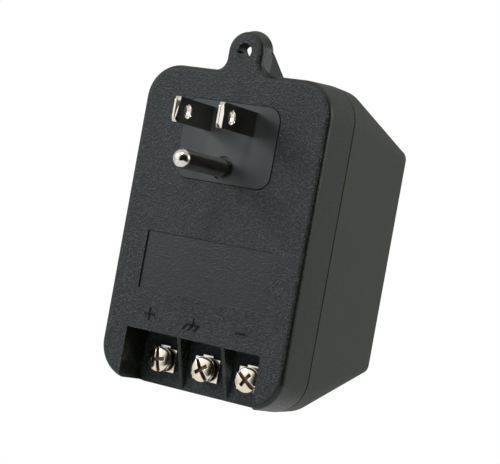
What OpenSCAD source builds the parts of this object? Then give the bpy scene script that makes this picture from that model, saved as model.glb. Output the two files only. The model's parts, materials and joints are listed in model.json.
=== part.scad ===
// Plug-in power supply: a moulded two-part housing on a grounded mains plug, with three screw terminals.
// Millimetres. X is across, +Y goes from the plug face into the housing, +Z is up.
// The origin is on the plug insert's face, midway between the two flat blades.

/* [Housing] */
// Width across the parting line
body_w = 55.9; // [55:0.1:60]
// Height of the top edge above the blades, at the parting line
body_top = 13.6; // [12:0.1:15]
// Depth of the bottom edge below the blades, at the parting line
body_bottom = 70.2; // [69:0.1:76]
// Distance from the plug face to the back face
body_d = 49.8; // [49:0.2:56]
// Distance from the plug face to the parting line
split_y = 12.6; // [12.4:0.1:13.6]
// Corner radius seen from the front, at the parting line
corner_r = 9.8; // [8:0.2:11]
// Rounding round the face
face_edge_r = 1.8; // [0.8:0.1:2]
// How far each side leans in between the parting line and the face
shell_draft = 0.75; // [0.3:0.05:1.4]
// Wall thickness of both shells
wall_t = 2.2; // [1.8:0.1:2.6]
// Width of the groove that shows between the shells
split_gap = 0.4; // [0.2:0.05:0.6]
// Thickness of the tongue that closes the groove
tongue_t = 0.9; // [0.7:0.05:1]
// Length of the tongue
tongue_len = 2; // [1.5:0.1:3]

/* [Rear shell] */
// Length of the straight rim before the top and bottom slope in
rim_len = 7.2; // [5:0.2:9]
// How far the top slopes down to the back face
rear_drop = 10.8; // [8:0.1:12]
// How far the bottom slopes up to the back face
rear_rise = 10.9; // [8:0.1:11.5]
// How far each side leans in between the rim and the back face
rear_lean = 0.4; // [0.1:0.1:1.2]
// Corner radius of the back face
rear_corner_r = 3; // [2.6:0.1:5]
// Rounding round the back face
rear_edge_r = 2; // [1:0.1:2.4]

/* [Hanging ear] */
// Height of the ear's hole above the blades
ear_z = 18.1; // [17.5:0.1:20]
// Radius of the ear's round end
ear_r = 5.95; // [5.2:0.05:6.5]
// Thickness of the ear
ear_t = 4.3; // [3.6:0.1:5]
// How far each side of the ear leans in towards the face
ear_lean = 0.75; // [0.3:0.05:1]
// Height above the hole's centre at which the wedge behind the ear starts
ear_wedge_rise = 1; // [0:0.1:2]
// Diameter of the ear's hole
ear_hole_d = 4.1; // [3.4:0.1:4.8]
// Radius of the hollow corners where the ear meets the top
ear_fillet_r = 3; // [2:0.1:3.6]

/* [Plug] */
// Distance between the two flat blades
blade_spacing = 12.7; // [12.5:0.1:12.9]
// Width of a flat blade
blade_w = 6.35; // [6.1:0.05:6.5]
// Thickness of a flat blade
blade_t = 1.52; // [1.4:0.02:1.65]
// Reach of the flat blades from the plug face
blade_len = 17; // [15.9:0.1:18.2]
// Length of the bevels at a blade's tip
blade_bevel = 1.2; // [0.6:0.1:1.6]
// Bevel of the corners at a blade's tip
blade_corner = 1; // [0.4:0.1:1.4]
// Diameter of the hole in a blade
blade_hole_d = 3.5; // [3:0.1:4]
// Distance from the plug face to the hole's centre
blade_hole_y = 11.8; // [11:0.1:12.4]
// Diameter of the round ground pin
ground_d = 4.8; // [4.6:0.05:4.9]
// Drop from the flat blades to the ground pin
ground_drop = 11.9; // [11.7:0.05:12.1]
// Reach of the ground pin from the plug face
ground_len = 21.6; // [20:0.1:22.5]
// Width of the square insert that holds the blades
insert_w = 27.6; // [26.6:0.1:28.6]
// Height of the insert
insert_h = 20.5; // [20:0.1:21.4]
// Height of the insert's top edge above the blades
insert_top = 4.8; // [4.6:0.1:5.4]
// Corner radius of the insert
insert_r = 3.6; // [2.5:0.1:4.5]
// How far the insert stands out of the housing face
insert_proud = 0.25; // [0.1:0.05:0.4]
// Width of the line round the insert
insert_gap = 0.15; // [0.1:0.05:0.3]
// Depth of the pins' full section in the insert, and of the well round the ground pin
well_depth = 0.8; // [0.4:0.1:1]

/* [Terminal bay] */
// Width of the face on each side of the bay
bay_side = 8; // [7.6:0.05:8.3]
// Height of the bay's ceiling above the housing's bottom edge
bay_h = 14.3; // [13.6:0.1:14.6]
// Distance from the plug face to the bay's floor
bay_y = 10.6; // [10:0.1:11.2]
// Thickness of the bay's own walls
bay_wall_t = 1.8; // [1.4:0.1:2]
// Drop from the bay's ceiling to the terminal screws
terminal_below = 7.3; // [6.9:0.1:8]
// Thickness of the barriers between terminals
barrier_t = 1; // [0.8:0.1:1.4]
// Distance from the plug face to the top of a barrier's front edge
barrier_y = 4.3; // [3:0.1:6]
// Width of a terminal plate
plate_w = 7.4; // [7:0.1:8]
// Height of a terminal plate
plate_h = 6; // [5.9:0.1:7]
// Thickness of a terminal plate
plate_t = 0.8; // [0.6:0.1:1]
// Diameter of a terminal screw
screw_d = 3; // [2.8:0.1:3.2]
// Length of a terminal screw below its head
screw_len = 6.6; // [5.8:0.1:7]
// Diameter of a terminal screw's head
screw_head_d = 6.4; // [5.6:0.1:6.6]
// Height of a terminal screw's head
screw_head_h = 2; // [1.8:0.1:2.5]
// Gap that a backed-out screw leaves between its head and the plate
screw_lift = 1; // [0.8:0.1:1.4]

/* [Text recess] */
// Width of the smooth recess in the face
recess_w = 37.5; // [34:0.5:40]
// Height of the smooth recess
recess_h = 15; // [13:0.5:16]
// Height of the recess's lower edge above the bay's ceiling
recess_rise = 10.4; // [9:0.1:11]
// Depth of the smooth recess
recess_depth = 0.35; // [0.2:0.05:0.5]

/* [Transformer] */
// Gap between the laminations and the side walls
core_gap = 1.2; // [0.8:0.1:2]
// Gap between the pins' tabs and the coil
coil_front_gap = 3.35; // [3.2:0.05:4]
// Gap between the coil and the back wall
coil_back_gap = 0.25; // [0.2:0.05:0.8]
// Width of the core's middle leg
leg_w = 16; // [15:0.5:16]
// Drop from the blades to the top of the core
core_drop = 7; // [6.5:0.1:7.5]
// Gap between the core and the circuit board below it
core_board_gap = 4.6; // [4.4:0.1:5.4]
// Wall of the bobbin
bobbin_t = 1; // [0.8:0.1:1.2]
// Gap between the bobbin's flanges and the core's outer legs
coil_gap = 0.85; // [0.6:0.05:1.4]
// Thickness of the tape round a winding
tape_t = 0.3; // [0.2:0.05:0.4]
// Diameter of the leads
lead_d = 1.6; // [1.2:0.1:1.8]

/* [Circuit board] */
// Gap between the board's ends and the side walls
board_gap = 3.6; // [3.4:0.1:4.6]
// Height of the board
board_h = 14.5; // [14:0.1:15]
// Thickness of the board
board_t = 1.6; // [1.2:0.1:1.6]
// Distance from the plug face to the board's front
board_y = 18; // [17.8:0.1:18.4]
// Diameter of the filter capacitor
cap_d = 10; // [8:0.2:10]
// Gap between the filter capacitor and the nearest diode's leads
cap_gap = 5; // [4:0.1:6]
// Diameter of a diode's body
diode_d = 2.7; // [2.4:0.1:3]
// Length of a diode's body
diode_len = 5; // [4.6:0.1:5.2]

/* [Hidden] */

$fn = 48;
eps = 0.01;
over = 1;
ring_steps = 14;
back_steps = 6;
lead_sides = 8;
// Pieces that sit against each other keep this much between them
seat = 0.05;

plastic = "#2b2e31";
nickel = "#cfcac0";
steel = "#6f7072";
copper = "#b5652e";
tape_yellow = "#d8b43a";
nylon = "#e4dfd0";
ceramic = "#d9d6cc";
board_green = "#2f6b3d";
sleeve_blue = "#1d2a4a";
lead_colors = ["#22262b", "#e8e6df", "#3c8a45", "#2d5fae", "#c23b2e"];

// The housing's outline is one set of corner centres, from which every contour is an offset
corner_x = body_w / 2 - corner_r;
corner_top = body_top - corner_r;
corner_bottom = -body_bottom + corner_r;
face_y = insert_proud;
edge_end_y = face_y + face_edge_r;
inner_edge_r = 0.3;
taper_y = split_y + rim_len;
rear_w = body_w - 2 * rear_lean;
rear_top = body_top - rear_drop;
rear_bottom = body_bottom - rear_rise;
inner_back_y = body_d - wall_t;

// The ear is set out from the housing's top edge
ear_back_y = face_y + ear_t;
top_at_edge = body_top - shell_draft;

flange_w = 1.6;
flange_t = 1.5;
flange_y = face_y + wall_t;
insert_back_y = flange_y + flange_t;
pin_x = blade_spacing / 2;
well_margin = 0.7;
tab_w = 4;
tab_t = 0.8;
tab_y = 9.5;
tab_hole_d = 1.6;
ground_stem_d = 3.6;
blade_tip_t = 0.6;

bay_w = body_w - 2 * bay_side;
bay_drop = body_bottom - bay_h;
terminal_pitch = bay_w / 3;
terminal_drop = bay_drop + terminal_below;
terminal_x = [-terminal_pitch, 0, terminal_pitch];
barrier_x = [-terminal_pitch / 2, terminal_pitch / 2];
plate_y = bay_y - plate_t;
collar_r = 2.3;
collar_len = 1.4;
screw_clear = 0.05;
hole_clear = 0.3;
boss_r = 3.2;
head_y = plate_y - screw_lift - screw_head_h;
tail_w = 3;
tail_rise = 3.7;
tail_len = board_y + board_t - bay_y;
tail_z = -terminal_drop + tail_rise;
slot_w = 1;
slot_depth = 1.2;
cross_w = 1;
cross_span = 4;
dome_share = 0.3;
dome_fn = 96;

board_rise = 4.3;
board_top = board_rise - bay_drop;
core_w = rear_w - 2 * (wall_t + core_gap);
core_h = -board_top - core_board_gap - core_drop;
yoke_h = (core_w - leg_w) / 4;
window_w = yoke_h;
leg_len = core_h - 2 * yoke_h;
core_top = -core_drop;
window_top = core_top - yoke_h;
window_bottom = window_top - leg_len;
core_bottom = core_top - core_h;
bobbin_clear = 0.15;
tube_w = leg_w + 2 * bobbin_clear + 2 * bobbin_t;
tube_r = 0.3;
flange_lip = 0.3;
winding_t = window_w - bobbin_clear - bobbin_t - tape_t - flange_lip - coil_gap;
flange_over = winding_t + tape_t + flange_lip;
coil_depth = inner_back_y - coil_back_gap - tab_y - coil_front_gap;
core_y = tab_y + coil_front_gap + coil_depth / 2;
tube_d = coil_depth - 2 * flange_over;
stack_t = tube_d - 2 * bobbin_clear - 2 * bobbin_t;
bobbin_top = window_top - bobbin_clear;
bobbin_h = leg_len - 2 * bobbin_clear;
section_h = (bobbin_h - 3 * bobbin_t) / 2;
primary_z = bobbin_top - bobbin_t - section_h;
secondary_z = primary_z - bobbin_t - section_h;
coil_front_y = core_y - tube_d / 2 - winding_t - tape_t;
post_w = 4;
post_h = 7;
fuse_size = [9, 2.6, 4];

board_w = body_w - 2 * (wall_t + board_gap);
board_back_y = board_y + board_t;
cap_x = 1.6 - board_w / 2;
cap_z = board_top - board_h / 2;
bead_r = 0.5;
bead_x = 1.5;
diode_z = [board_top - 3, board_top - board_h + 1.8];
diode_lift = 0.3;
diode_lead_d = 0.7;
diode_span = diode_len + 3;
peg_x = board_w / 2 - 2.2;
diode_pitch = 9.2;
peg_to_diode = 6;
diode_x = [peg_x - peg_to_diode - diode_pitch, peg_x - peg_to_diode];
cap_len = diode_x[0] - diode_span / 2 - cap_gap - cap_x;
peg_z = board_top - 2.4;
peg_r = 1.1;
peg_out = 0.8;

// Heights and depths that the leads pass through
tab_tip_y = tab_y + lead_d / 2 + 2 * seat;
fuse_y = coil_front_y - fuse_size.y / 2;
fuse_top = primary_z + (section_h + fuse_size.z) / 2;
tape_y = core_y - tube_d / 2 - flange_over - lead_d / 2 - seat;
board_lead = [board_y - lead_d / 2 - seat, board_top - 1.5];
tab_start_z = 2;
tab_end_z = -4;
hot_turn_z = -8;
neutral_turn_z = -9;
neutral_end_z = fuse_top - 6;
ground_turn = [-ground_drop - 4, -ground_drop - 6.5];
ground_lead_y = coil_front_y - fuse_size.y - lead_d - 0.4;
under_core_z = core_bottom - 1;
secondary_lead_x = 9;

// Flat shapes drawn in X and Z, given thickness from one depth to another
module slab(y0, y1) {
    translate([0, y1, 0])
        rotate([90, 0, 0])
            linear_extrude(height = y1 - y0)
                children();
}

// Shapes turned about an axis that runs into the housing, drawn as radius and depth
module turned(x, z) {
    translate([x, 0, z])
        rotate([-90, 0, 0])
            rotate_extrude()
                children();
}

module rod(x, z, r, y0, y1) {
    translate([x, y0, z])
        rotate([-90, 0, 0])
            cylinder(r = r, h = y1 - y0);
}

module round_rect(w, h, r) {
    translate([-w / 2 + r, -h / 2])
        square([w - 2 * r, h]);
    translate([-w / 2, -h / 2 + r])
        square([w, h - 2 * r]);
    for (x = [-w / 2 + r, w / 2 - r], z = [-h / 2 + r, h / 2 - r])
        translate([x, z])
            circle(r);
}

// Section of a drafted wall with a rounded front edge: offset from the corner centre against depth
module wall_section(r_front, r_back, edge, y0, y1) {
    polygon([[0, y0], [r_front - edge, y0], [r_front - edge, y0 + edge],
        [r_front, y0 + edge], [r_back, y1], [0, y1]]);
    translate([r_front - edge, y0 + edge])
        circle(edge);
}

// A block whose four corners are turned from a wall section and whose sides are that section drawn out
module drafted_block(cx, z_low, z_high, y0, y1) {
    for (x = [-cx, cx], z = [z_low, z_high])
        turned(x, z)
            intersection() {
                children();
                translate([0, y0])
                    square([body_w, y1 - y0]);
            }
    translate([0, 0, z_low])
        linear_extrude(height = z_high - z_low)
            section_pair(cx, -cx, y0, y1)
                children();
    rotate([0, -90, 0])
        linear_extrude(height = 2 * cx, center = true)
            section_pair(z_high, z_low, y0, y1)
                children();
}

module section_pair(high, low, y0, y1) {
    translate([high, 0])
        children();
    translate([low, 0])
        mirror([1, 0])
            children();
    translate([low, y0])
        square([high - low, y1 - y0]);
}

// One contour of the housing, grown or shrunk from the corner centres
module contour(r) {
    w = 2 * (corner_x + r);
    h = corner_top - corner_bottom + 2 * r;
    translate([0, (corner_top + corner_bottom) / 2])
        round_rect(w, h, r);
}

module front_block(inset) {
    edge = max(face_edge_r - inset, inner_edge_r);
    drafted_block(corner_x, corner_bottom, corner_top, face_y + inset, split_y)
        wall_section(corner_r - shell_draft - inset, corner_r - inset, edge,
            face_y + inset, split_y);
}

// The ear, its hollow corners and the wedge behind it
module ear() {
    difference() {
        union() {
            turned(0, ear_z)
                wall_section(ear_r - ear_lean, ear_r, face_edge_r, face_y, ear_back_y);
            translate([0, 0, corner_top])
                linear_extrude(height = ear_z - corner_top)
                    for (side = [0, 1])
                        mirror([side, 0])
                            wall_section(ear_r - ear_lean, ear_r, face_edge_r, face_y, ear_back_y);
            for (side = [-1, 1])
                ear_corner(side);
            ear_wedge();
        }
        rod(0, ear_z, ear_hole_d / 2, face_y - over, body_d);
    }
}

module ear_corner(side) {
    reach = ear_fillet_r + face_edge_r;
    x = ear_r + ear_fillet_r - ear_lean;
    z = top_at_edge + ear_fillet_r;
    difference() {
        slab(face_y, ear_back_y)
            translate([side > 0 ? x - reach - over : -x, top_at_edge - face_edge_r - over])
                square([reach + over, reach + over]);
        turned(side * x, z)
            difference() {
                translate([0, face_y - over])
                    square([reach, ear_t + 2 * over]);
                translate([reach, face_y + face_edge_r])
                    circle(face_edge_r);
                translate([ear_fillet_r, face_y + face_edge_r])
                    square([reach, ear_t + 2 * over]);
            }
    }
}

module ear_wedge() {
    foot = top_at_edge - over;
    wedge_top = ear_z + ear_wedge_rise;
    intersection() {
        translate([-ear_r, 0, 0])
            rotate([90, 0, 90])
                linear_extrude(height = 2 * ear_r)
                    polygon([[edge_end_y, foot], [edge_end_y, wedge_top], [ear_back_y, wedge_top],
                        [split_y, body_top], [split_y, foot]]);
        slab(ear_back_y - seat, split_y) {
            translate([0, ear_z])
                circle(ear_r);
            translate([-ear_r, foot])
                square([2 * ear_r, ear_z - foot]);
        }
    }
}

module bay_space(grow, y_front, y_back) {
    slab(y_front, y_back)
        translate([-bay_w / 2 - grow, -body_bottom - over])
            square([bay_w + 2 * grow, body_bottom - bay_drop + over + grow]);
}

// Triangular webs between the terminals, full depth at the ceiling and running out at the floor's lower edge
module barrier(x) {
    translate([x - barrier_t / 2, 0, 0])
        rotate([90, 0, 90])
            linear_extrude(height = barrier_t)
                polygon([[barrier_y, -bay_drop + eps], [bay_y + eps, -bay_drop + eps],
                    [bay_y + eps, -body_bottom + shell_draft]]);
}

module insert_opening(y0, y1, grow) {
    slab(y0, y1)
        translate([0, insert_top - insert_h / 2])
            round_rect(insert_w + 2 * grow, insert_h + 2 * grow, insert_r + grow);
}

module front_tongue() {
    difference() {
        slab(split_y - wall_t, split_y + tongue_len)
            contour(corner_r - wall_t + tongue_t);
        slab(split_y - wall_t - over, split_y + tongue_len + over)
            contour(corner_r - wall_t);
    }
}

module front_shell() {
    color(plastic)
        difference() {
            union() {
                difference() {
                    union() {
                        front_block(0);
                        ear();
                    }
                    front_block(wall_t);
                }
                front_tongue();
                intersection() {
                    front_block(0);
                    bay_space(bay_wall_t, face_y, split_y);
                }
                for (x = terminal_x)
                    rod(x, -terminal_drop, boss_r, split_y - over, board_y - seat);
                for (side = [-1, 1]) {
                    rod(side * peg_x, peg_z, 2 * peg_r, bay_y, board_y - seat);
                    rod(side * peg_x, peg_z, peg_r, bay_y, board_back_y + peg_out);
                    for (z = [core_top - post_h, core_bottom])
                        core_post(side, z, face_y + wall_t / 2, core_y - stack_t / 2 - seat);
                }
            }
            difference() {
                bay_space(0, face_y - over, bay_y);
                for (x = barrier_x)
                    barrier(x);
            }
            insert_opening(face_y - over, flange_y + over, insert_gap);
            slab(face_y - over, face_y + recess_depth)
                translate([-recess_w / 2, recess_rise - bay_drop])
                    square([recess_w, recess_h]);
            for (x = terminal_x) {
                rod(x, -terminal_drop, collar_r + hole_clear, bay_y - over, bay_y + collar_len + hole_clear);
                rod(x, -terminal_drop, screw_d / 2 + hole_clear, bay_y - over, board_y - over);
                translate([x - (tail_w + hole_clear) / 2, bay_y - over, tail_z - plate_t - hole_clear / 2])
                    cube([tail_w + hole_clear, board_y, plate_t + hole_clear]);
            }
        }
}

module core_post(side, z, y0, y1) {
    x = side > 0 ? core_w / 2 - post_w : -core_w / 2;
    translate([x, y0, z])
        cube([post_w, y1 - y0, post_h]);
}

// Points of a rounded contour at one depth, corner by corner
function contour_ring(w, top, bottom, r, y) =
    let (x = w / 2 - r, low = r - bottom, high = top - r)
    [for (c = [[x, low, 360], [-x, low, 270], [-x, high, 180], [x, high, 90]], k = [0:ring_steps])
        let (a = c.z - 90 * k / ring_steps)
        [c.x + r * cos(a), y, c.y + r * sin(a)]];

// Joins a row of rings, each with as many points, into one closed skin
module skin(rings) {
    sides = len(rings[0]);
    last = len(rings) - 1;
    polyhedron(
        points = [for (r = rings) each r],
        faces = concat(
            [[for (k = [0:sides - 1]) k]],
            [for (i = [0:last - 1], k = [0:sides - 1])
                let (a = i * sides + k, b = i * sides + (k + 1) % sides)
                each [[a, a + sides, b], [b, a + sides, b + sides]]],
            [[for (k = [sides - 1:-1:0]) last * sides + k]]));
}

// The rear shell's outside or, inset by the wall, its inside
module rear_block(inset, y_start) {
    edge = max(rear_edge_r - inset, inner_edge_r);
    r = max(rear_corner_r - inset / 2, edge + inner_edge_r);
    y_end = body_d - inset;
    skin(concat(
        [for (y = [y_start, taper_y])
            contour_ring(body_w - 2 * inset, body_top - inset, body_bottom - inset, corner_r - inset, y)],
        [for (i = [0:back_steps])
            let (a = 90 * i / back_steps, by = inset + edge * (1 - cos(a)), y = y_end - edge * (1 - sin(a)))
            contour_ring(rear_w - 2 * by, rear_top - by, rear_bottom - by, r + inset - by, y)]));
}

module rear_shell() {
    rabbet = corner_r - wall_t + tongue_t + seat;
    color(plastic)
        difference() {
            union() {
                difference() {
                    rear_block(0, split_y + split_gap);
                    rear_block(wall_t, split_y);
                }
                for (side = [-1, 1], z = [core_top - post_h, core_bottom])
                    core_post(side, z, core_y + stack_t / 2 + seat, inner_back_y + wall_t / 2);
            }
            slab(split_y, split_y + tongue_len + seat)
                contour(rabbet);
        }
}

module plug_insert() {
    mid_z = insert_top - insert_h / 2;
    color(plastic)
        difference() {
            union() {
                insert_opening(0, flange_y + seat, 0);
                slab(flange_y + seat, insert_back_y)
                    translate([0, mid_z])
                        round_rect(insert_w + 2 * flange_w, insert_h + 2 * flange_w, insert_r + flange_w);
            }
            for (side = [-1, 1])
                slab(-over, well_depth)
                    translate([side * pin_x, 0])
                        square([blade_t, blade_w], center = true);
            rod(0, -ground_drop, ground_d / 2 + well_margin, -over, well_depth);
            for (side = [-1, 1])
                blade_stem(side);
            rod(0, -ground_drop, ground_stem_d / 2, 0, tab_y);
        }
}

// The part of a blade that is moulded into the insert and ends in the solder tab
module blade_stem(side) {
    translate([side * pin_x - tab_t / 2, well_depth - eps, -tab_w / 2])
        cube([tab_t, tab_y - well_depth + eps, tab_w]);
}

// A blade's outline from one side: half its width, half its tip's width and the length of the taper
module blade_section(depth, half, tip, taper) {
    linear_extrude(height = depth, center = true)
        polygon([[-half, well_depth], [-half, taper - blade_len], [-tip, -blade_len],
            [tip, -blade_len], [half, taper - blade_len], [half, well_depth]]);
}

module blade(side) {
    half = blade_t / 2;
    tip = blade_tip_t / 2;
    color(nickel)
        difference() {
            union() {
                translate([side * pin_x, 0, 0])
                    intersection() {
                        blade_section(blade_w, half, tip, blade_bevel);
                        rotate([0, 90, 0])
                            blade_section(blade_t, blade_w / 2, blade_w / 2 - blade_corner, blade_corner);
                    }
                blade_stem(side);
            }
            translate([side * pin_x - blade_t, -blade_hole_y, 0])
                rotate([0, 90, 0])
                    cylinder(d = blade_hole_d, h = 2 * blade_t);
            translate([side * pin_x - blade_t, tab_y - tab_hole_d, 0])
                rotate([0, 90, 0])
                    cylinder(d = tab_hole_d, h = 2 * blade_t);
        }
}

module ground_pin() {
    r = ground_d / 2;
    color(nickel) {
        rod(0, -ground_drop, r, -ground_len + r, well_depth);
        translate([0, -ground_len + r, -ground_drop])
            sphere(r);
        rod(0, -ground_drop, ground_stem_d / 2, well_depth - eps, tab_y);
    }
}

// Plate with a drawn collar for the thread, and a tail bent back through the floor to the board
module terminal(x) {
    bore_r = screw_d / 2 + screw_clear;
    color(nickel)
        difference() {
            union() {
                translate([x - plate_w / 2, plate_y, -terminal_drop - plate_h / 2])
                    cube([plate_w, plate_t, plate_h]);
                rod(x, -terminal_drop, collar_r, plate_y, bay_y + collar_len);
                translate([x - tail_w / 2, plate_y, tail_z - plate_t])
                    cube([tail_w, plate_t + tail_len, plate_t]);
            }
            rod(x, -terminal_drop, bore_r, plate_y - over, bay_y + collar_len + over);
        }
}

// Pan head with a slot and a cross in it, each screw stopped at its own angle
module screw(x, angle) {
    r = screw_head_d / 2;
    dome_h = screw_head_h * dome_share;
    dome_r = (r * r + dome_h * dome_h) / (2 * dome_h);
    shank_y = head_y + screw_head_h;
    color(nickel)
        difference() {
            union() {
                turned(x, -terminal_drop)
                    intersection() {
                        translate([0, head_y])
                            square([r, screw_head_h]);
                        translate([0, head_y + dome_r])
                            circle(dome_r, $fn = dome_fn);
                    }
                rod(x, -terminal_drop, screw_d / 2, shank_y - eps, shank_y + screw_len);
            }
            translate([x, head_y, -terminal_drop])
                rotate([0, angle, 0]) {
                    translate([-r - over, -over, -slot_w / 2])
                        cube([2 * (r + over), over + slot_depth, slot_w]);
                    translate([-cross_w / 2, -over, -cross_span / 2])
                        cube([cross_w, over + slot_depth, cross_span]);
                }
        }
}

module core_plate(z0, z1) {
    slab(core_y - stack_t / 2, core_y + stack_t / 2)
        translate([-core_w / 2, z0])
            square([core_w, z1 - z0]);
}

module core_e_stack() {
    color(steel)
        difference() {
            core_plate(window_bottom, core_top);
            for (side = [-1, 1])
                translate([side * (leg_w + window_w) / 2 - window_w / 2, 0, window_bottom - over])
                    cube([window_w, body_d, leg_len + over]);
        }
}

module core_i_stack() {
    color(steel)
        core_plate(core_bottom, window_bottom - eps);
}

// A ring round the core's middle leg, given by its inner size, thickness and height
module coil_ring(w, d, t, r, z, h) {
    translate([0, core_y, z])
        linear_extrude(height = h)
            difference() {
                round_rect(w + 2 * t, d + 2 * t, r + t);
                round_rect(w, d, r);
            }
}

module bobbin() {
    color(nylon) {
        coil_ring(tube_w - 2 * bobbin_t, tube_d - 2 * bobbin_t, bobbin_t, tube_r,
            bobbin_top - bobbin_h, bobbin_h);
        for (i = [0:2])
            coil_ring(tube_w - 2 * bobbin_t, tube_d - 2 * bobbin_t, bobbin_t + flange_over, tube_r,
                bobbin_top - bobbin_t - i * (section_h + bobbin_t), bobbin_t);
    }
}

module winding(z) {
    color(copper)
        coil_ring(tube_w + 2 * seat, tube_d + 2 * seat, winding_t - seat, tube_r,
            z + seat, section_h - 2 * seat);
}

module tape(z) {
    color(tape_yellow)
        coil_ring(tube_w + 2 * winding_t, tube_d + 2 * winding_t, tape_t, winding_t,
            z + seat, section_h - 2 * seat);
}

module thermal_fuse() {
    color(ceramic)
        translate([-fuse_size.x / 2, coil_front_y - seat - fuse_size.y, fuse_top - fuse_size.z])
            cube(fuse_size);
}

module circuit_board() {
    color(board_green)
        difference() {
            slab(board_y, board_back_y)
                translate([-board_w / 2, board_top - board_h])
                    square([board_w, board_h]);
            for (x = terminal_x)
                translate([x - tail_w / 2 - seat, board_y - over, tail_z - plate_t - seat])
                    cube([tail_w + 2 * seat, board_t + 2 * over, plate_t + 2 * seat]);
            for (side = [-1, 1])
                rod(side * peg_x, peg_z, peg_r + seat, board_y - over, board_back_y + over);
        }
}

module filter_capacitor() {
    color(sleeve_blue)
        translate([cap_x, board_back_y + cap_d / 2 + seat, cap_z])
            rotate([0, 90, 0])
                difference() {
                    cylinder(d = cap_d, h = cap_len);
                    translate([0, 0, bead_x])
                        rotate_extrude()
                            translate([cap_d / 2 + bead_r / 2, 0])
                                circle(bead_r);
                }
}

module diode(x, z) {
    y = board_back_y + diode_lift + diode_d / 2;
    color(plastic) {
        translate([x - diode_len / 2, y, z])
            rotate([0, 90, 0])
                cylinder(d = diode_d, h = diode_len);
        translate([x - diode_span / 2, y, z])
            rotate([0, 90, 0])
                cylinder(d = diode_lead_d, h = diode_span);
        for (end = [-diode_span / 2, diode_span / 2]) {
            rod(x + end, z, diode_lead_d / 2, board_back_y + seat, y);
            translate([x + end, y, z])
                sphere(d = diode_lead_d);
        }
    }
}

// Rounds a route's bends by cutting each corner, twice over
function cut_corners(p) = concat([p[0]],
    [for (i = [0:len(p) - 2], k = [0.25, 0.75]) p[i] * (1 - k) + p[i + 1] * k],
    [p[len(p) - 1]]);
function heading(p, i) = let (d = p[min(i + 1, len(p) - 1)] - p[max(i - 1, 0)]) d / norm(d);
function lead_ring(centre, along, r) =
    let (u = cross(along, [1, 0, 0]), a = u / norm(u), b = cross(along, a), turn = 360 / lead_sides)
    [for (k = [0:lead_sides - 1]) centre + r * (a * cos(turn * k) + b * sin(turn * k))];

// An insulated lead swept along its route
module lead(points) {
    route = cut_corners(cut_corners(points));
    skin([for (i = [0:len(route) - 1]) lead_ring(route[i], heading(route, i), lead_d / 2)]);
}

module hot_lead() {
    color(lead_colors[0])
        lead([[-pin_x, tab_tip_y, tab_start_z], [-pin_x, tab_tip_y, tab_end_z],
            [-pin_x / 2, fuse_y, hot_turn_z], [-pin_x / 2, fuse_y, fuse_top + seat]]);
}

module neutral_lead() {
    x = pin_x + over;
    color(lead_colors[1])
        lead([[pin_x, tab_tip_y, tab_start_z], [pin_x, tab_tip_y, tab_end_z],
            [x, tape_y, neutral_turn_z], [x, tape_y, neutral_end_z]]);
}

module ground_lead() {
    color(lead_colors[2])
        lead([[0, tab_tip_y, -ground_drop], [0, tab_tip_y, ground_turn[0]],
            [0, ground_lead_y, ground_turn[1]], [0, ground_lead_y, window_bottom],
            [0, board_lead.x, under_core_z], [0, board_lead.x, board_lead.y]]);
}

module secondary_lead(side) {
    x = side * secondary_lead_x;
    color(side < 0 ? lead_colors[3] : lead_colors[4])
        lead([[x, tape_y, secondary_z + section_h / 2], [x, tape_y, core_bottom + 2 * over],
            [x, board_lead.x, under_core_z], [x, board_lead.x, board_lead.y]]);
}

front_shell();
rear_shell();
plug_insert();
blade(-1);  // hot_blade
blade(1);  // neutral_blade
ground_pin();
terminal(terminal_x[0]);  // terminal_plus
terminal(terminal_x[1]);  // terminal_ground
terminal(terminal_x[2]);  // terminal_minus
screw(terminal_x[0], 78);  // screw_plus
screw(terminal_x[1], 55);  // screw_ground
screw(terminal_x[2], 35);  // screw_minus
core_e_stack();
core_i_stack();
bobbin();
winding(primary_z);  // primary_winding
tape(primary_z);  // primary_tape
winding(secondary_z);  // secondary_winding
tape(secondary_z);  // secondary_tape
thermal_fuse();
circuit_board();
filter_capacitor();
diode(diode_x[0], diode_z[0]);  // diode_1
diode(diode_x[1], diode_z[0]);  // diode_2
diode(diode_x[0], diode_z[1]);  // diode_3
diode(diode_x[1], diode_z[1]);  // diode_4
hot_lead();
neutral_lead();
ground_lead();
secondary_lead(-1);  // secondary_lead_1
secondary_lead(1);  // secondary_lead_2
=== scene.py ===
# Plug-in power supply: finishes, raised signs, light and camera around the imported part.
import json
import math

import bpy
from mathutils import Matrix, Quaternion, Vector


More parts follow.
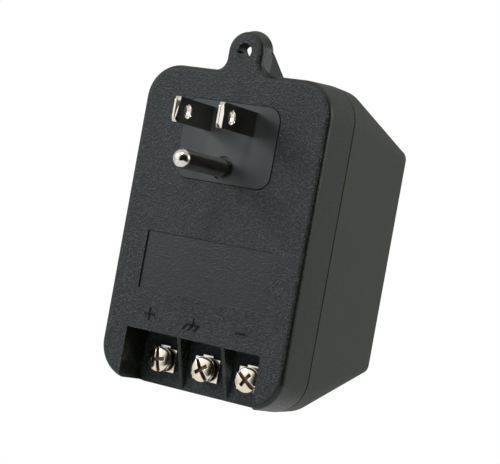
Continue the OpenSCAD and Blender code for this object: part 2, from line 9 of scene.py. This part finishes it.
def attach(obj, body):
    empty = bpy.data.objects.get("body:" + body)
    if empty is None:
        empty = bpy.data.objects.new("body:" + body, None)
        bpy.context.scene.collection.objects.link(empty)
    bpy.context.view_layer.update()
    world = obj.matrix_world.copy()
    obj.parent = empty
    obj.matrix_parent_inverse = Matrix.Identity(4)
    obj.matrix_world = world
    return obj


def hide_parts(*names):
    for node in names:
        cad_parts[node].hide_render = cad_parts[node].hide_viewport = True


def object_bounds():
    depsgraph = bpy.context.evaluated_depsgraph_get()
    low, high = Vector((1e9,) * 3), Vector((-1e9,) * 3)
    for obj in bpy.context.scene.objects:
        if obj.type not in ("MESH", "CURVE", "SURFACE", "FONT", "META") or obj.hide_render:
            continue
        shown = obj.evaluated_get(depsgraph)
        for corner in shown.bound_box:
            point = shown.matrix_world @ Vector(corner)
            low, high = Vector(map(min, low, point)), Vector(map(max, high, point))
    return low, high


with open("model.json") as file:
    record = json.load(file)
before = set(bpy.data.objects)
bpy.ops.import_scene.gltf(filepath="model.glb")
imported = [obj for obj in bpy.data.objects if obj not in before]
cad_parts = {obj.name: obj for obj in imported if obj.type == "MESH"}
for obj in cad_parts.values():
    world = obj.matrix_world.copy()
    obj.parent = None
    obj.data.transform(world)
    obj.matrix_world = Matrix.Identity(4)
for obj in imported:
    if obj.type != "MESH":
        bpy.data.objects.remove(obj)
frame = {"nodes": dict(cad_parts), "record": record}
cadBox = [list(corner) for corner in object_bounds()]
millimetre = 0.001
print("frame loaded:", len(frame["nodes"]), "nodes")


camera = {
    "place": (0.1891, -0.3158, -0.0252),
    "direction": (-0.4912, 0.8711, -0.0033),
    "lean": -10.27,  # degrees, because the supply leans in the picture
    "lens": 105.5,
    "sensor": 36.0,
    "clip": (0.01, 20.0),
}


def addCamera():
    data = bpy.data.cameras.new("camera")
    data.lens = camera["lens"]
    data.sensor_width = camera["sensor"]
    data.sensor_fit = "HORIZONTAL"
    data.clip_start, data.clip_end = camera["clip"]
    eye = bpy.data.objects.new("camera", data)
    bpy.context.scene.collection.objects.link(eye)
    direction = Vector(camera["direction"]).normalized()
    level = direction.to_track_quat("-Z", "Y")
    eye.rotation_mode = "QUATERNION"
    eye.rotation_quaternion = Quaternion(direction, math.radians(camera["lean"])) @ level
    eye.location = camera["place"]
    bpy.context.scene.camera = eye


addCamera()
print("camera placed")


class Wire:  # one shader value, so that maths on it reads as plain expressions
    def __init__(self, shade, socket):
        self.shade = shade
        self.socket = socket

    def combine(self, operation, first, second):
        return self.shade.node("ShaderNodeMath", {"operation": operation}, {0: first, 1: second})

    def __add__(self, other):
        return self.combine("ADD", self, other)

    def __radd__(self, other):
        return self.combine("ADD", other, self)

    def __sub__(self, other):
        return self.combine("SUBTRACT", self, other)

    def __rsub__(self, other):
        return self.combine("SUBTRACT", other, self)

    def __mul__(self, other):
        return self.combine("MULTIPLY", self, other)

    def __rmul__(self, other):
        return self.combine("MULTIPLY", other, self)

    def __abs__(self):
        return self.combine("ABSOLUTE", self, 0.0)


class Shade:  # a node tree with its shader, for a material or for the world
    def __init__(self, owner, shaderName):
        owner.use_nodes = True
        self.owner = owner
        self.tree = owner.node_tree
        self.shader = self.tree.nodes[shaderName]

    def node(self, kind, settings, inputs, output=0):
        made = self.tree.nodes.new(kind)
        for key, value in settings.items():
            if key == "stops":
                self.setStops(made.color_ramp, value)
            else:
                setattr(made, key, value)
        for key, value in inputs.items():
            self.feed(made.inputs[key], value)
        return Wire(self, made.outputs[output])

    def setStops(self, ramp, stops):
        while len(ramp.elements) < len(stops):
            ramp.elements.new(1.0)
        for element, (position, level) in zip(ramp.elements, stops):
            element.position = position
            element.color = (level, level, level, 1.0)

    def feed(self, socket, value):
        if isinstance(value, Wire):
            self.tree.links.new(value.socket, socket)
        else:
            socket.default_value = value

    def places(self):
        return self.node("ShaderNodeTexCoord", {}, {}, "Object")

    def normals(self):
        return self.node("ShaderNodeTexCoord", {}, {}, "Normal")

    def axis(self, vector, name):
        return self.node("ShaderNodeSeparateXYZ", {}, {0: vector}, name)

    def noise(self, scale, detail=2.0, roughness=0.5, vector=None):
        settings = {"Vector": vector or self.places(), "Scale": scale, "Detail": detail, "Roughness": roughness}
        return self.node("ShaderNodeTexNoise", {}, settings)

    def rise(self, value, low, high, bottom=0.0, top=1.0):
        return self.node("ShaderNodeMapRange", {"interpolation_type": "SMOOTHSTEP"}, {
            "Value": value, "From Min": low, "From Max": high, "To Min": bottom, "To Max": top})

    def fall(self, value, low, high):
        return self.rise(value, low, high, 1.0, 0.0)

    def mix(self, mask, first, second):
        return self.node("ShaderNodeMix", {"data_type": "RGBA"}, {0: mask, 6: first, 7: second}, 2)

    def bump(self, height, strength, distance):
        return self.node("ShaderNodeBump", {}, {"Height": height, "Strength": strength, "Distance": distance})


def colour(red, green, blue):
    return (red, green, blue, 1.0)


def startMaterial(name, fixed):
    shade = Shade(bpy.data.materials.new(name), "Principled BSDF")
    for key, value in fixed.items():
        shade.shader.inputs[key].default_value = value
    return shade


def setSurface(shade, base, roughness, height=None, strength=0.5, distance=0.05 * millimetre):
    shade.feed(shade.shader.inputs["Base Color"], base)
    shade.feed(shade.shader.inputs["Roughness"], roughness)
    if height is not None:
        shade.feed(shade.shader.inputs["Normal"], shade.bump(height, strength, distance))
    return shade.owner


shell = {
    "specular": {"Specular IOR Level": 0.50, "Specular Tint": colour(0.91, 1.0, 1.01)},
    "faceColour": colour(0.0008, 0.0012, 0.0015),
    "flankColour": colour(0.0034, 0.0050, 0.0014),
    "wornColour": colour(0.014, 0.016, 0.015),
    "wornShare": 0.12,
    "faceSpeck": colour(0.036, 0.042, 0.044),
    "flankSpeck": colour(0.022, 0.028, 0.014),
    "speckShare": 0.80,
    "speckRise": (0.46, 0.68),
    "speckOnFlank": 0.60,
    "speckInRecess": 0.20,
    "colourTurn": (0.86, 0.97),  # cosine between a normal and the front, from flank to face
    "textureTurn": (0.72, 0.93),
    "grain": 2500.0,  # cells per metre
    "cloud": 90.0,
    "roughness": (0.30, 0.47, 0.36),  # on the flanks, the face and the recess
    "roughnessVaries": 0.10,
    "texture": (0.12, 1.0, 0.04),
    "textureDepth": 0.42 * millimetre,
    "recessHalf": 18.75 * millimetre,
    "recessLow": -45.5 * millimetre,
    "recessHigh": -30.5 * millimetre,
    "recessDeep": 2 * millimetre,
    "edge": 0.12 * millimetre,
}


def recessMask(shade):  # 1 on the recess's smooth floor
    place = shade.places()
    edge = shell["edge"]
    z = shade.axis(place, "Z")
    across = shade.fall(abs(shade.axis(place, "X")), shell["recessHalf"] - edge, shell["recessHalf"] + edge)
    above = shade.rise(z, shell["recessLow"] - edge, shell["recessLow"] + edge)
    below = shade.fall(z, shell["recessHigh"] - edge, shell["recessHigh"] + edge)
    near = shade.fall(shade.axis(place, "Y"), 0.0, shell["recessDeep"])
    return across * above * below * near


def overParts(levels, rough, smooth):  # a value with its own level on the flanks, the face and the recess
    flank, face, recess = levels
    return flank + (face - flank) * rough + (recess - flank) * smooth


def shellPlastic():
    shade = startMaterial("shellPlastic", shell["specular"])
    smooth = recessMask(shade)
    towardsFront = 0.0 - shade.axis(shade.normals(), "Y")
    face = shade.rise(towardsFront, *shell["colourTurn"])
    rough = shade.rise(towardsFront, *shell["textureTurn"]) * (1.0 - smooth)
    fine = shade.noise(shell["grain"], 2.0, 0.55)
    cloud = shade.noise(shell["cloud"], 3.0, 0.55)
    onFlank = shell["speckOnFlank"]
    speck = shade.rise(fine, *shell["speckRise"]) * (onFlank + (1.0 - onFlank) * rough)
    speck = speck * (1.0 - (1.0 - shell["speckInRecess"]) * smooth)
    light = shade.mix(face, shell["flankSpeck"], shell["faceSpeck"])
    plain = shade.mix(face, shell["flankColour"], shell["faceColour"])
    worn = shade.mix(shell["wornShare"] * cloud, plain, shell["wornColour"])
    base = shade.mix(speck * shell["speckShare"], worn, light)
    roughness = overParts(shell["roughness"], rough, smooth) + shell["roughnessVaries"] * (cloud - 0.5 - speck)
    height = fine * overParts(shell["texture"], rough, smooth)
    return setSurface(shade, base, roughness, height, 1.0, shell["textureDepth"])


rear = {
    "specular": {"Specular IOR Level": 0.5, "Specular Tint": colour(0.92, 1.0, 0.9)},
    "dark": colour(0.0165, 0.0205, 0.0130),
    "pale": colour(0.0225, 0.0270, 0.0190),
    "speck": colour(0.046, 0.052, 0.040),
    "speckRise": (0.50, 0.72),
    "speckShare": 0.6,
    "grain": 2600.0,
    "cloud": 70.0,
    "roughness": 0.42,
    "textureDepth": 0.16 * millimetre,
}


def rearPlastic():
    shade = startMaterial("rearPlastic", rear["specular"])
    fine = shade.noise(rear["grain"], 3.0, 0.6)
    cloud = shade.noise(rear["cloud"], 3.0, 0.55)
    plain = shade.mix(cloud * 0.5, rear["dark"], rear["pale"])
    base = shade.mix(shade.rise(fine, *rear["speckRise"]) * rear["speckShare"], plain, rear["speck"])
    return setSurface(shade, base, rear["roughness"] + 0.08 * (cloud - 0.5), fine, 1.0, rear["textureDepth"])


insert = {
    "specular": {"Specular IOR Level": 0.5, "Specular Tint": colour(0.9, 1.0, 1.0)},
    "dark": colour(0.014, 0.016, 0.016),
    "pale": colour(0.020, 0.022, 0.022),
    # painted highlight: a paler colour round the insert's middle, standing in for light falling there
    "middle": colour(0.038, 0.041, 0.041),
    "middleX": 1.0 * millimetre,
    "middleZ": -5.0 * millimetre,
    "middleFrom": 3.0 * millimetre,
    "middleTo": 13.0 * millimetre,
    "grain": 1500.0,
    "cloud": 160.0,
    "roughness": 0.32,
}


def insertPlastic():  # smooth, with a painted highlight that makes it paler round its middle
    shade = startMaterial("insertPlastic", insert["specular"])
    fine = shade.noise(insert["grain"], 2.0, 0.5)
    cloud = shade.noise(insert["cloud"], 3.0, 0.5)
    place = shade.places()
    x = shade.axis(place, "X") - insert["middleX"]
    z = shade.axis(place, "Z") - insert["middleZ"]
    # painted highlight, strongest at the insert's middle and gone 13 mm out
    middle = shade.fall(x * x + z * z, insert["middleFrom"] ** 2, insert["middleTo"] ** 2)
    plain = shade.mix(cloud * 0.6, insert["dark"], insert["pale"])
    base = shade.mix(middle, plain, insert["middle"])
    return setSurface(shade, base, insert["roughness"] + 0.10 * (cloud - 0.5), fine, 0.15, 0.02 * millimetre)


# painted shade: the signs get a darker, duller plastic than the face, for the shade on the raised strokes
def signPlasticPaintedShade():
    shade = startMaterial("signPlasticPaintedShade", {"Specular IOR Level": 0.16})
    fine = shade.noise(2200.0, 2.0, 0.5)
    base = shade.mix(fine, colour(0.004, 0.0045, 0.005), colour(0.008, 0.0085, 0.009))
    return setSurface(shade, base, 0.60 + 0.08 * (fine - 0.5), fine, 0.15, 0.02 * millimetre)


nickels = {
    "pin_nickel": {
        "name": "pinNickel",
        "warm": colour(0.80, 0.74, 0.65),
        "pale": colour(0.86, 0.82, 0.76),
        "roughness": 0.10,
        "streaks": (1.0, 0.15, 1.0),
        "depth": 0.10,
        # painted shade on the side faces, which reflect a dark surround
        "sideTarnish": 0.60,
    },
    "plate_nickel": {
        "name": "plateNickel",
        "warm": colour(0.72, 0.69, 0.64),
        "pale": colour(0.80, 0.77, 0.72),
        "roughness": 0.16,
        "streaks": (0.3, 1.0, 1.0),
        "depth": 0.05,
        "sideTarnish": 0.0,
    },
}


def nickel(name, warm, pale, roughness, streaks, depth, sideTarnish):
    shade = startMaterial(name, {"Metallic": 1.0})
    stretched = shade.node("ShaderNodeMapping", {}, {"Vector": shade.places(), "Scale": streaks})
    brush = shade.noise(1400.0, 3.0, 0.6, stretched)
    cloud = shade.noise(420.0, 3.0, 0.55)
    bright = shade.mix(shade.rise(cloud, 0.35, 0.7), warm, pale)
    # painted shade: faces that point along X are darkened, standing in for the dark surround they reflect
    sides = shade.rise(abs(shade.axis(shade.normals(), "X")), 0.75, 0.95)
    base = shade.mix(sides * sideTarnish, bright, colour(0.10, 0.10, 0.085))
    return setSurface(shade, base, roughness + 0.06 * (cloud - 0.5), brush, depth, 0.01 * millimetre)


screwFinish = {
    "headFront": 6.8 * millimetre,  # depth of the head's highest point
    "domeRadius": 8.8333 * millimetre,
    "headRadius": 3.2 * millimetre,
    "pitch": 13.3 * millimetre,
    "level": -63.2 * millimetre,
    "rim": (0.90, 0.97),  # shares of the head's radius where the recess's brown ends
    "sunk": (0.12 * millimetre, 0.45 * millimetre),
    "warm": colour(0.84, 0.74, 0.56),
    "pale": colour(0.86, 0.81, 0.72),
    "recessBrown": colour(0.10, 0.055, 0.028),
    "recessBrownShare": 0.93,
    "roughness": 0.14,
    "recessBrownRoughness": 0.30,
    "recessBrownDulls": 0.35,
}


def screwNickel():  # bright on the head, and brown and duller down in its recess
    shade = startMaterial("screwNickel", {})
    place = shade.places()
    z = shade.axis(place, "Z") - screwFinish["level"]
    folded = {"operation": "PINGPONG"}
    away = shade.node("ShaderNodeMath", folded, {0: abs(shade.axis(place, "X")), 1: screwFinish["pitch"] / 2})
    square = away * away + z * z
    radius = screwFinish["domeRadius"]
    fall = radius - shade.node("ShaderNodeMath", {"operation": "SQRT"}, {0: radius * radius - square})
    sunk = shade.axis(place, "Y") - screwFinish["headFront"] - fall
    ends = [(screwFinish["headRadius"] * share) ** 2 for share in screwFinish["rim"]]
    # brown, less metallic and rougher where the head sinks below its dome
    recessBrown = shade.rise(sunk, *screwFinish["sunk"]) * shade.fall(square, *ends)
    cloud = shade.noise(700.0, 3.0, 0.6)
    bright = shade.mix(shade.rise(cloud, 0.35, 0.7), screwFinish["warm"], screwFinish["pale"])
    base = shade.mix(recessBrown * screwFinish["recessBrownShare"], bright, screwFinish["recessBrown"])
    shade.feed(shade.shader.inputs["Metallic"], 1.0 - screwFinish["recessBrownDulls"] * recessBrown)
    roughness = screwFinish["roughness"] + 0.08 * (cloud - 0.5) + screwFinish["recessBrownRoughness"] * recessBrown
    return setSurface(shade, base, roughness, cloud, 0.12, 0.01 * millimetre)


def plainWithGrain(name, first, second, roughness, scale):
    shade = startMaterial(name, {})
    grain = shade.noise(scale, 3.0, 0.55)
    base = shade.mix(shade.rise(grain, 0.3, 0.7), first, second)
    return setSurface(shade, base, roughness + 0.08 * (grain - 0.5), grain, 0.25, 0.03 * millimetre)


def layered(name, first, second, roughness, axisName, pitch, metallic):
    shade = startMaterial(name, {"Metallic": metallic})
    along = shade.axis(shade.places(), axisName) * (2 * math.pi / pitch)
    ridge = shade.node("ShaderNodeMath", {"operation": "SINE"}, {0: along}) * 0.5 + 0.5
    cloud = shade.noise(300.0, 3.0, 0.5)
    base = shade.mix(ridge, first, second)
    return setSurface(shade, base, roughness + 0.1 * (cloud - 0.5), ridge, 0.7, 0.06 * millimetre)


layers = {  # name, colours in and on the ridges, roughness, axis, pitch, metallic
    "lamination_steel": ("laminationSteel", colour(0.10, 0.10, 0.10), colour(0.26, 0.26, 0.27),
                         0.42, "Y", 0.5 * millimetre, 0.8),
    "copper_wire": ("copperWire", colour(0.28, 0.08, 0.025), colour(0.72, 0.27, 0.10),
                    0.28, "Z", 0.4 * millimetre, 0.9),
}
plains = {  # name, two colours, roughness, cells per metre
    "bobbin_nylon": ("bobbinNylon", colour(0.66, 0.62, 0.52), colour(0.74, 0.70, 0.6), 0.4, 300.0),
    "coil_tape": ("coilTape", colour(0.62, 0.42, 0.05), colour(0.72, 0.50, 0.08), 0.3, 200.0),
    "fuse_ceramic": ("fuseCeramic", colour(0.6, 0.57, 0.5), colour(0.7, 0.67, 0.6), 0.55, 900.0),
    "board_laminate": ("boardLaminate", colour(0.02, 0.12, 0.04), colour(0.04, 0.17, 0.06), 0.35, 1200.0),
    "capacitor_sleeve": ("capacitorSleeve", colour(0.012, 0.02, 0.06), colour(0.02, 0.03, 0.09), 0.3, 250.0),
    "diode_body": ("diodeBody", colour(0.01, 0.01, 0.011), colour(0.02, 0.02, 0.021), 0.5, 1500.0),
    "lead_black": ("leadBlack", colour(0.015, 0.015, 0.016), colour(0.03, 0.03, 0.03), 0.4, 500.0),
    "lead_white": ("leadWhite", colour(0.7, 0.69, 0.65), colour(0.78, 0.77, 0.73), 0.4, 500.0),
    "lead_green": ("leadGreen", colour(0.03, 0.22, 0.05), colour(0.05, 0.29, 0.07), 0.4, 500.0),
    "lead_blue": ("leadBlue", colour(0.02, 0.08, 0.36), colour(0.04, 0.12, 0.46), 0.4, 500.0),
    "lead_red": ("leadRed", colour(0.46, 0.03, 0.02), colour(0.56, 0.05, 0.04), 0.4, 500.0),
}


def makeMaterials():
    made = {
        "shell_plastic": shellPlastic(),
        "insert_plastic": insertPlastic(),
        "screw_nickel": screwNickel(),
    }
    for slotName, settings in nickels.items():
        made[slotName] = nickel(**settings)
    for slotName, settings in layers.items():
        made[slotName] = layered(*settings)
    for slotName, settings in plains.items():
        made[slotName] = plainWithGrain(*settings)
    return made


materials = makeMaterials()
slotOf = {entry["node"]: entry["material_slot"] for entry in frame["record"]["subparts"]}


def setMaterial(piece, material):
    piece.data.materials.clear()
    piece.data.materials.append(material)


for nodeName, node in frame["nodes"].items():
    setMaterial(node, materials[slotOf[nodeName]])
setMaterial(frame["nodes"]["rear_shell"], rearPlastic())
print("materials set")


def clearSelection():
    bpy.ops.object.select_all(action="DESELECT")


def pick(piece):
    clearSelection()
    piece.select_set(True)
    bpy.context.view_layer.objects.active = piece


def applyModifier(piece, kind, settings):
    pick(piece)
    modifier = piece.modifiers.new(kind.lower(), kind)
    for key, value in settings.items():
        setattr(modifier, key, value)
    bpy.ops.object.modifier_apply(modifier=modifier.name)


def bevelEdges(piece, width, angle):
    applyModifier(piece, "BEVEL", {"width": width, "segments": finish["segments"], "limit_method": "ANGLE",
                                   "angle_limit": math.radians(angle), "use_clamp_overlap": True})


def smoothOver(piece):  # curves smooth, flat faces flat
    pick(piece)
    bpy.ops.object.shade_smooth_by_angle(angle=math.radians(finish["smoothAngle"]))
    applyModifier(piece, "WEIGHTED_NORMAL", {"weight": 100, "keep_sharp": True})


finish = {
    "join": 0.0005 * millimetre,
    "smoothAngle": 32.0,
    "flatAngle": 0.5,  # faces that turn less than this from each other become one
    "segments": 2,
    "bodies": {"screw_plus": "plus_screw", "screw_ground": "ground_screw", "screw_minus": "minus_screw"},
    "rims": {"front_shell": 12.6 * millimetre, "rear_shell": 13.0 * millimetre},
    "rimBevel": 0.16 * millimetre,
    "rimNear": 0.02 * millimetre,
    "rimInset": 0.9 * millimetre,
    "bevels": {  # width of the worn edge in millimetres, and the angle above which an edge gets it
        "front_shell": None,
        "rear_shell": None,
        "plug_insert": (0.05, 50.0),
        "hot_blade": (0.10, 25.0),
        "neutral_blade": (0.10, 25.0),
        "ground_pin": None,
        "terminal_plus": (0.10, 50.0),
        "terminal_ground": (0.10, 50.0),
        "terminal_minus": (0.10, 50.0),
        "screw_plus": (0.12, 40.0),
        "screw_ground": (0.12, 40.0),
        "screw_minus": (0.12, 40.0),
    },
}


outline = {  # the housing's outer contour at its parting line
    "half": 27.95 * millimetre,
    "top": 13.6 * millimetre,
    "bottom": -70.2 * millimetre,
    "corner": 9.8 * millimetre,
}


def isOutside(point, inset):  # on the outer contour, not on the wall's inner side
    radius = outline["corner"]
    across = abs(point.x) - (outline["half"] - radius)
    upper = point.z - (outline["top"] - radius)
    lower = outline["bottom"] + radius - point.z
    beyond = max(upper, lower)
    if across > 0 and beyond > 0:
        return math.hypot(across, beyond) > radius - inset
    return max(across, beyond) > radius - inset


def breakRim(piece, rim):  # the outer edge that faces the other shell, worn a little
    mesh = piece.data
    near = finish["rimNear"]
    for vertex in mesh.vertices:
        vertex.select = False
    for face in mesh.polygons:
        face.select = False
    for edge in mesh.edges:
        ends = [mesh.vertices[index].co for index in edge.vertices]
        edge.select = all(abs(end.y - rim) < near and isOutside(end, finish["rimInset"]) for end in ends)
    bpy.ops.object.mode_set(mode="EDIT")
    bpy.ops.mesh.select_mode(type="EDGE")
    bpy.ops.mesh.bevel(offset=finish["rimBevel"], segments=finish["segments"], affect="EDGES", clamp_overlap=True)
    bpy.ops.object.mode_set(mode="OBJECT")


def finishedCopy(nodeName, bevel):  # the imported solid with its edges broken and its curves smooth
    solid = frame["nodes"][nodeName]
    piece = bpy.data.objects.new(nodeName + "_finished", solid.data.copy())
    bpy.context.scene.collection.objects.link(piece)
    pick(piece)
    bpy.ops.object.mode_set(mode="EDIT")
    bpy.ops.mesh.select_all(action="SELECT")
    bpy.ops.mesh.remove_doubles(threshold=finish["join"])
    bpy.ops.mesh.dissolve_limited(angle_limit=math.radians(finish["flatAngle"]), delimit={"NORMAL"})
    bpy.ops.object.mode_set(mode="OBJECT")
    if nodeName in finish["rims"]:
        breakRim(piece, finish["rims"][nodeName])
    if bevel:
        bevelEdges(piece, bevel[0] * millimetre, bevel[1])
    smoothOver(piece)
    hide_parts(nodeName)
    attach(piece, finish["bodies"].get(nodeName, "housing"))
    return piece


for nodeName, bevel in finish["bevels"].items():
    finishedCopy(nodeName, bevel)
print("edges broken")


signs = {
    "surface": 0.25 * millimetre,  # depth of the housing's face
    "height": 0.25 * millimetre,
    "stroke": 0.34 * millimetre,
    "bevel": (0.07 * millimetre, 50.0),
    "level": -51.6 * millimetre,
    "plusX": -13.9 * millimetre,
    "plusSpan": 2.9 * millimetre,
    "groundX": -0.6 * millimetre,
    "groundLevel": -52.0 * millimetre,
    "barLength": 3.4 * millimetre,
    "stem": 1.4 * millimetre,
    "slant": (-1.0 * millimetre, -1.4 * millimetre),
    "minusX": 13.3 * millimetre,
    "minusSpan": 2.7 * millimetre,
}


def stroke(name, start, end):  # a raised line on the face, drawn out of a small block
    startPoint = Vector((start[0], 0.0, start[1]))
    along = Vector((end[0] - start[0], 0.0, end[1] - start[1]))
    width = signs["stroke"]
    clearSelection()
    bpy.ops.mesh.primitive_cube_add(size=width, location=(0, 0, 0))
    line = bpy.context.object
    line.name = name
    bpy.ops.object.mode_set(mode="EDIT")
    bpy.ops.mesh.select_all(action="DESELECT")
    bpy.ops.object.mode_set(mode="OBJECT")
    for face in line.data.polygons:
        face.select = face.normal.x > 0.9
    bpy.ops.object.mode_set(mode="EDIT")
    bpy.ops.mesh.select_mode(type="FACE")
    bpy.ops.mesh.extrude_region_move(TRANSFORM_OT_translate={"value": (along.length, 0, 0)})
    bpy.ops.object.mode_set(mode="OBJECT")
    line.scale = (1.0, 2 * signs["height"] / width, 1.0)  # half of it stays in the shell
    line.rotation_euler = (0.0, -math.atan2(along.z, along.x), 0.0)
    line.location = (startPoint.x, signs["surface"], startPoint.z)
    bpy.ops.object.transform_apply(location=True, rotation=True, scale=True)
    return line


def joined(lines, name):
    clearSelection()
    for line in lines:
        line.select_set(True)
    bpy.context.view_layer.objects.active = lines[0]
    if len(lines) > 1:
        bpy.ops.object.join()
    sign = bpy.context.object
    sign.name = name
    bevelEdges(sign, *signs["bevel"])
    smoothOver(sign)
    setMaterial(sign, signMaterial)
    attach(sign, "housing")
    return sign


def addSigns():
    level = signs["level"]
    half = signs["plusSpan"] / 2
    x = signs["plusX"]
    joined([stroke("plusAcross", (x - half, level), (x + half, level)),
            stroke("plusUp", (x, level - half), (x, level + half))], "sign_plus")
    x = signs["groundX"]
    level = signs["groundLevel"]
    half = signs["barLength"] / 2
    lines = [stroke("groundBar", (x - half, level), (x + half, level)),
             stroke("groundStem", (x, level), (x, level + signs["stem"]))]
    for place in (-1, 0, 1):
        top = (x + place * half, level)
        lines.append(stroke("groundSlant", top, (top[0] + signs["slant"][0], top[1] + signs["slant"][1])))
    joined(lines, "sign_ground")
    x = signs["minusX"]
    level = signs["level"]
    half = signs["minusSpan"] / 2
    joined([stroke("minusAcross", (x - half, level), (x + half, level))], "sign_minus")


signMaterial = signPlasticPaintedShade()
addSigns()
print("signs raised")


stage = {
    "floorDrop": 0.18,  # below the supply, so its shadow falls outside the photo's frame
    "floorHalf": 0.42,
    "lampsAim": (0.0, 0.01, -0.03),
    "floorPaint": (colour(0.80, 0.80, 0.80), colour(0.83, 0.83, 0.83), 0.7, 40.0),
    "ambient": 0.42,
    "mirrorBase": 0.60,  # what glossy surfaces see of the room, which changes by direction
    "patches": [  # direction, cosines of the patch's outer and inner edge, level inside it
        ((0.49, 0.86, 0.05), 0.62, 0.90, 0.56),
        ((-0.49, 0.87, 0.05), 0.50, 0.92, 0.24),
        ((-0.50, -0.80, 0.38), 0.60, 0.94, 1.06),
        ((0.85, -0.52, 0.00), 0.45, 0.92, 0.05),
        ((0.66, -0.75, -0.06), 0.50, 0.78, 0.01),
    ],
}
lamps = {
    "key": {"place": (-0.60, -0.60, 0.30), "size": 0.26, "power": 2.6},
    "top": {"place": (0.06, -0.50, 0.74), "size": 0.20, "power": 4.0},
    "fill": {"place": (0.75, 0.30, 0.25), "size": 0.5, "power": 1.5},
}


def addFloor():
    low = Vector(cadBox[0])
    bpy.ops.mesh.primitive_plane_add(size=2 * stage["floorHalf"], location=(0, 0, low.z - stage["floorDrop"]))
    floor = bpy.context.object
    floor.name = "floor"
    bpy.ops.object.transform_apply(location=True, rotation=True, scale=True)
    setMaterial(floor, plainWithGrain("floorPaint", *stage["floorPaint"]))


def towards(shade, direction, centre):
    return shade.node("ShaderNodeVectorMath", {"operation": "DOT_PRODUCT"},
                      {0: direction, 1: Vector(centre).normalized()}, "Value")


def addWorld():
    world = bpy.data.worlds.new("studio")
    bpy.context.scene.world = world
    shade = Shade(world, "Background")
    direction = shade.node("ShaderNodeTexCoord", {}, {}, "Generated")
    mirrored = stage["mirrorBase"]
    for centre, outer, inner, level in stage["patches"]:
        inside = shade.rise(towards(shade, direction, centre), outer, inner)
        mirrored = mirrored * (1.0 - inside) + level * inside
    path = shade.tree.nodes.new("ShaderNodeLightPath")
    isCamera = Wire(shade, path.outputs["Is Camera Ray"])
    isGlossy = Wire(shade, path.outputs["Is Glossy Ray"])
    isClear = Wire(shade, path.outputs["Is Transmission Ray"])
    straight = shade.node("ShaderNodeMath", {"operation": "MAXIMUM"}, {0: isCamera, 1: isClear})
    level = straight + (1.0 - straight) * (isGlossy * mirrored + (1.0 - isGlossy) * stage["ambient"])
    shade.feed(shade.shader.inputs["Color"], colour(1.0, 1.0, 1.0))
    shade.feed(shade.shader.inputs["Strength"], level)


def addLamps():
    target = Vector(stage["lampsAim"])
    for name, lamp in lamps.items():
        data = bpy.data.lights.new(name, "AREA")
        data.size = lamp["size"]
        data.energy = lamp["power"]
        light = bpy.data.objects.new(name, data)
        bpy.context.scene.collection.objects.link(light)
        light.location = lamp["place"]
        light.rotation_mode = "QUATERNION"
        light.rotation_quaternion = (target - light.location).to_track_quat("-Z", "Y")


clearSelection()
addFloor()
addWorld()
addLamps()
bpy.context.scene.view_settings.view_transform = "Standard"
print("stage lit")
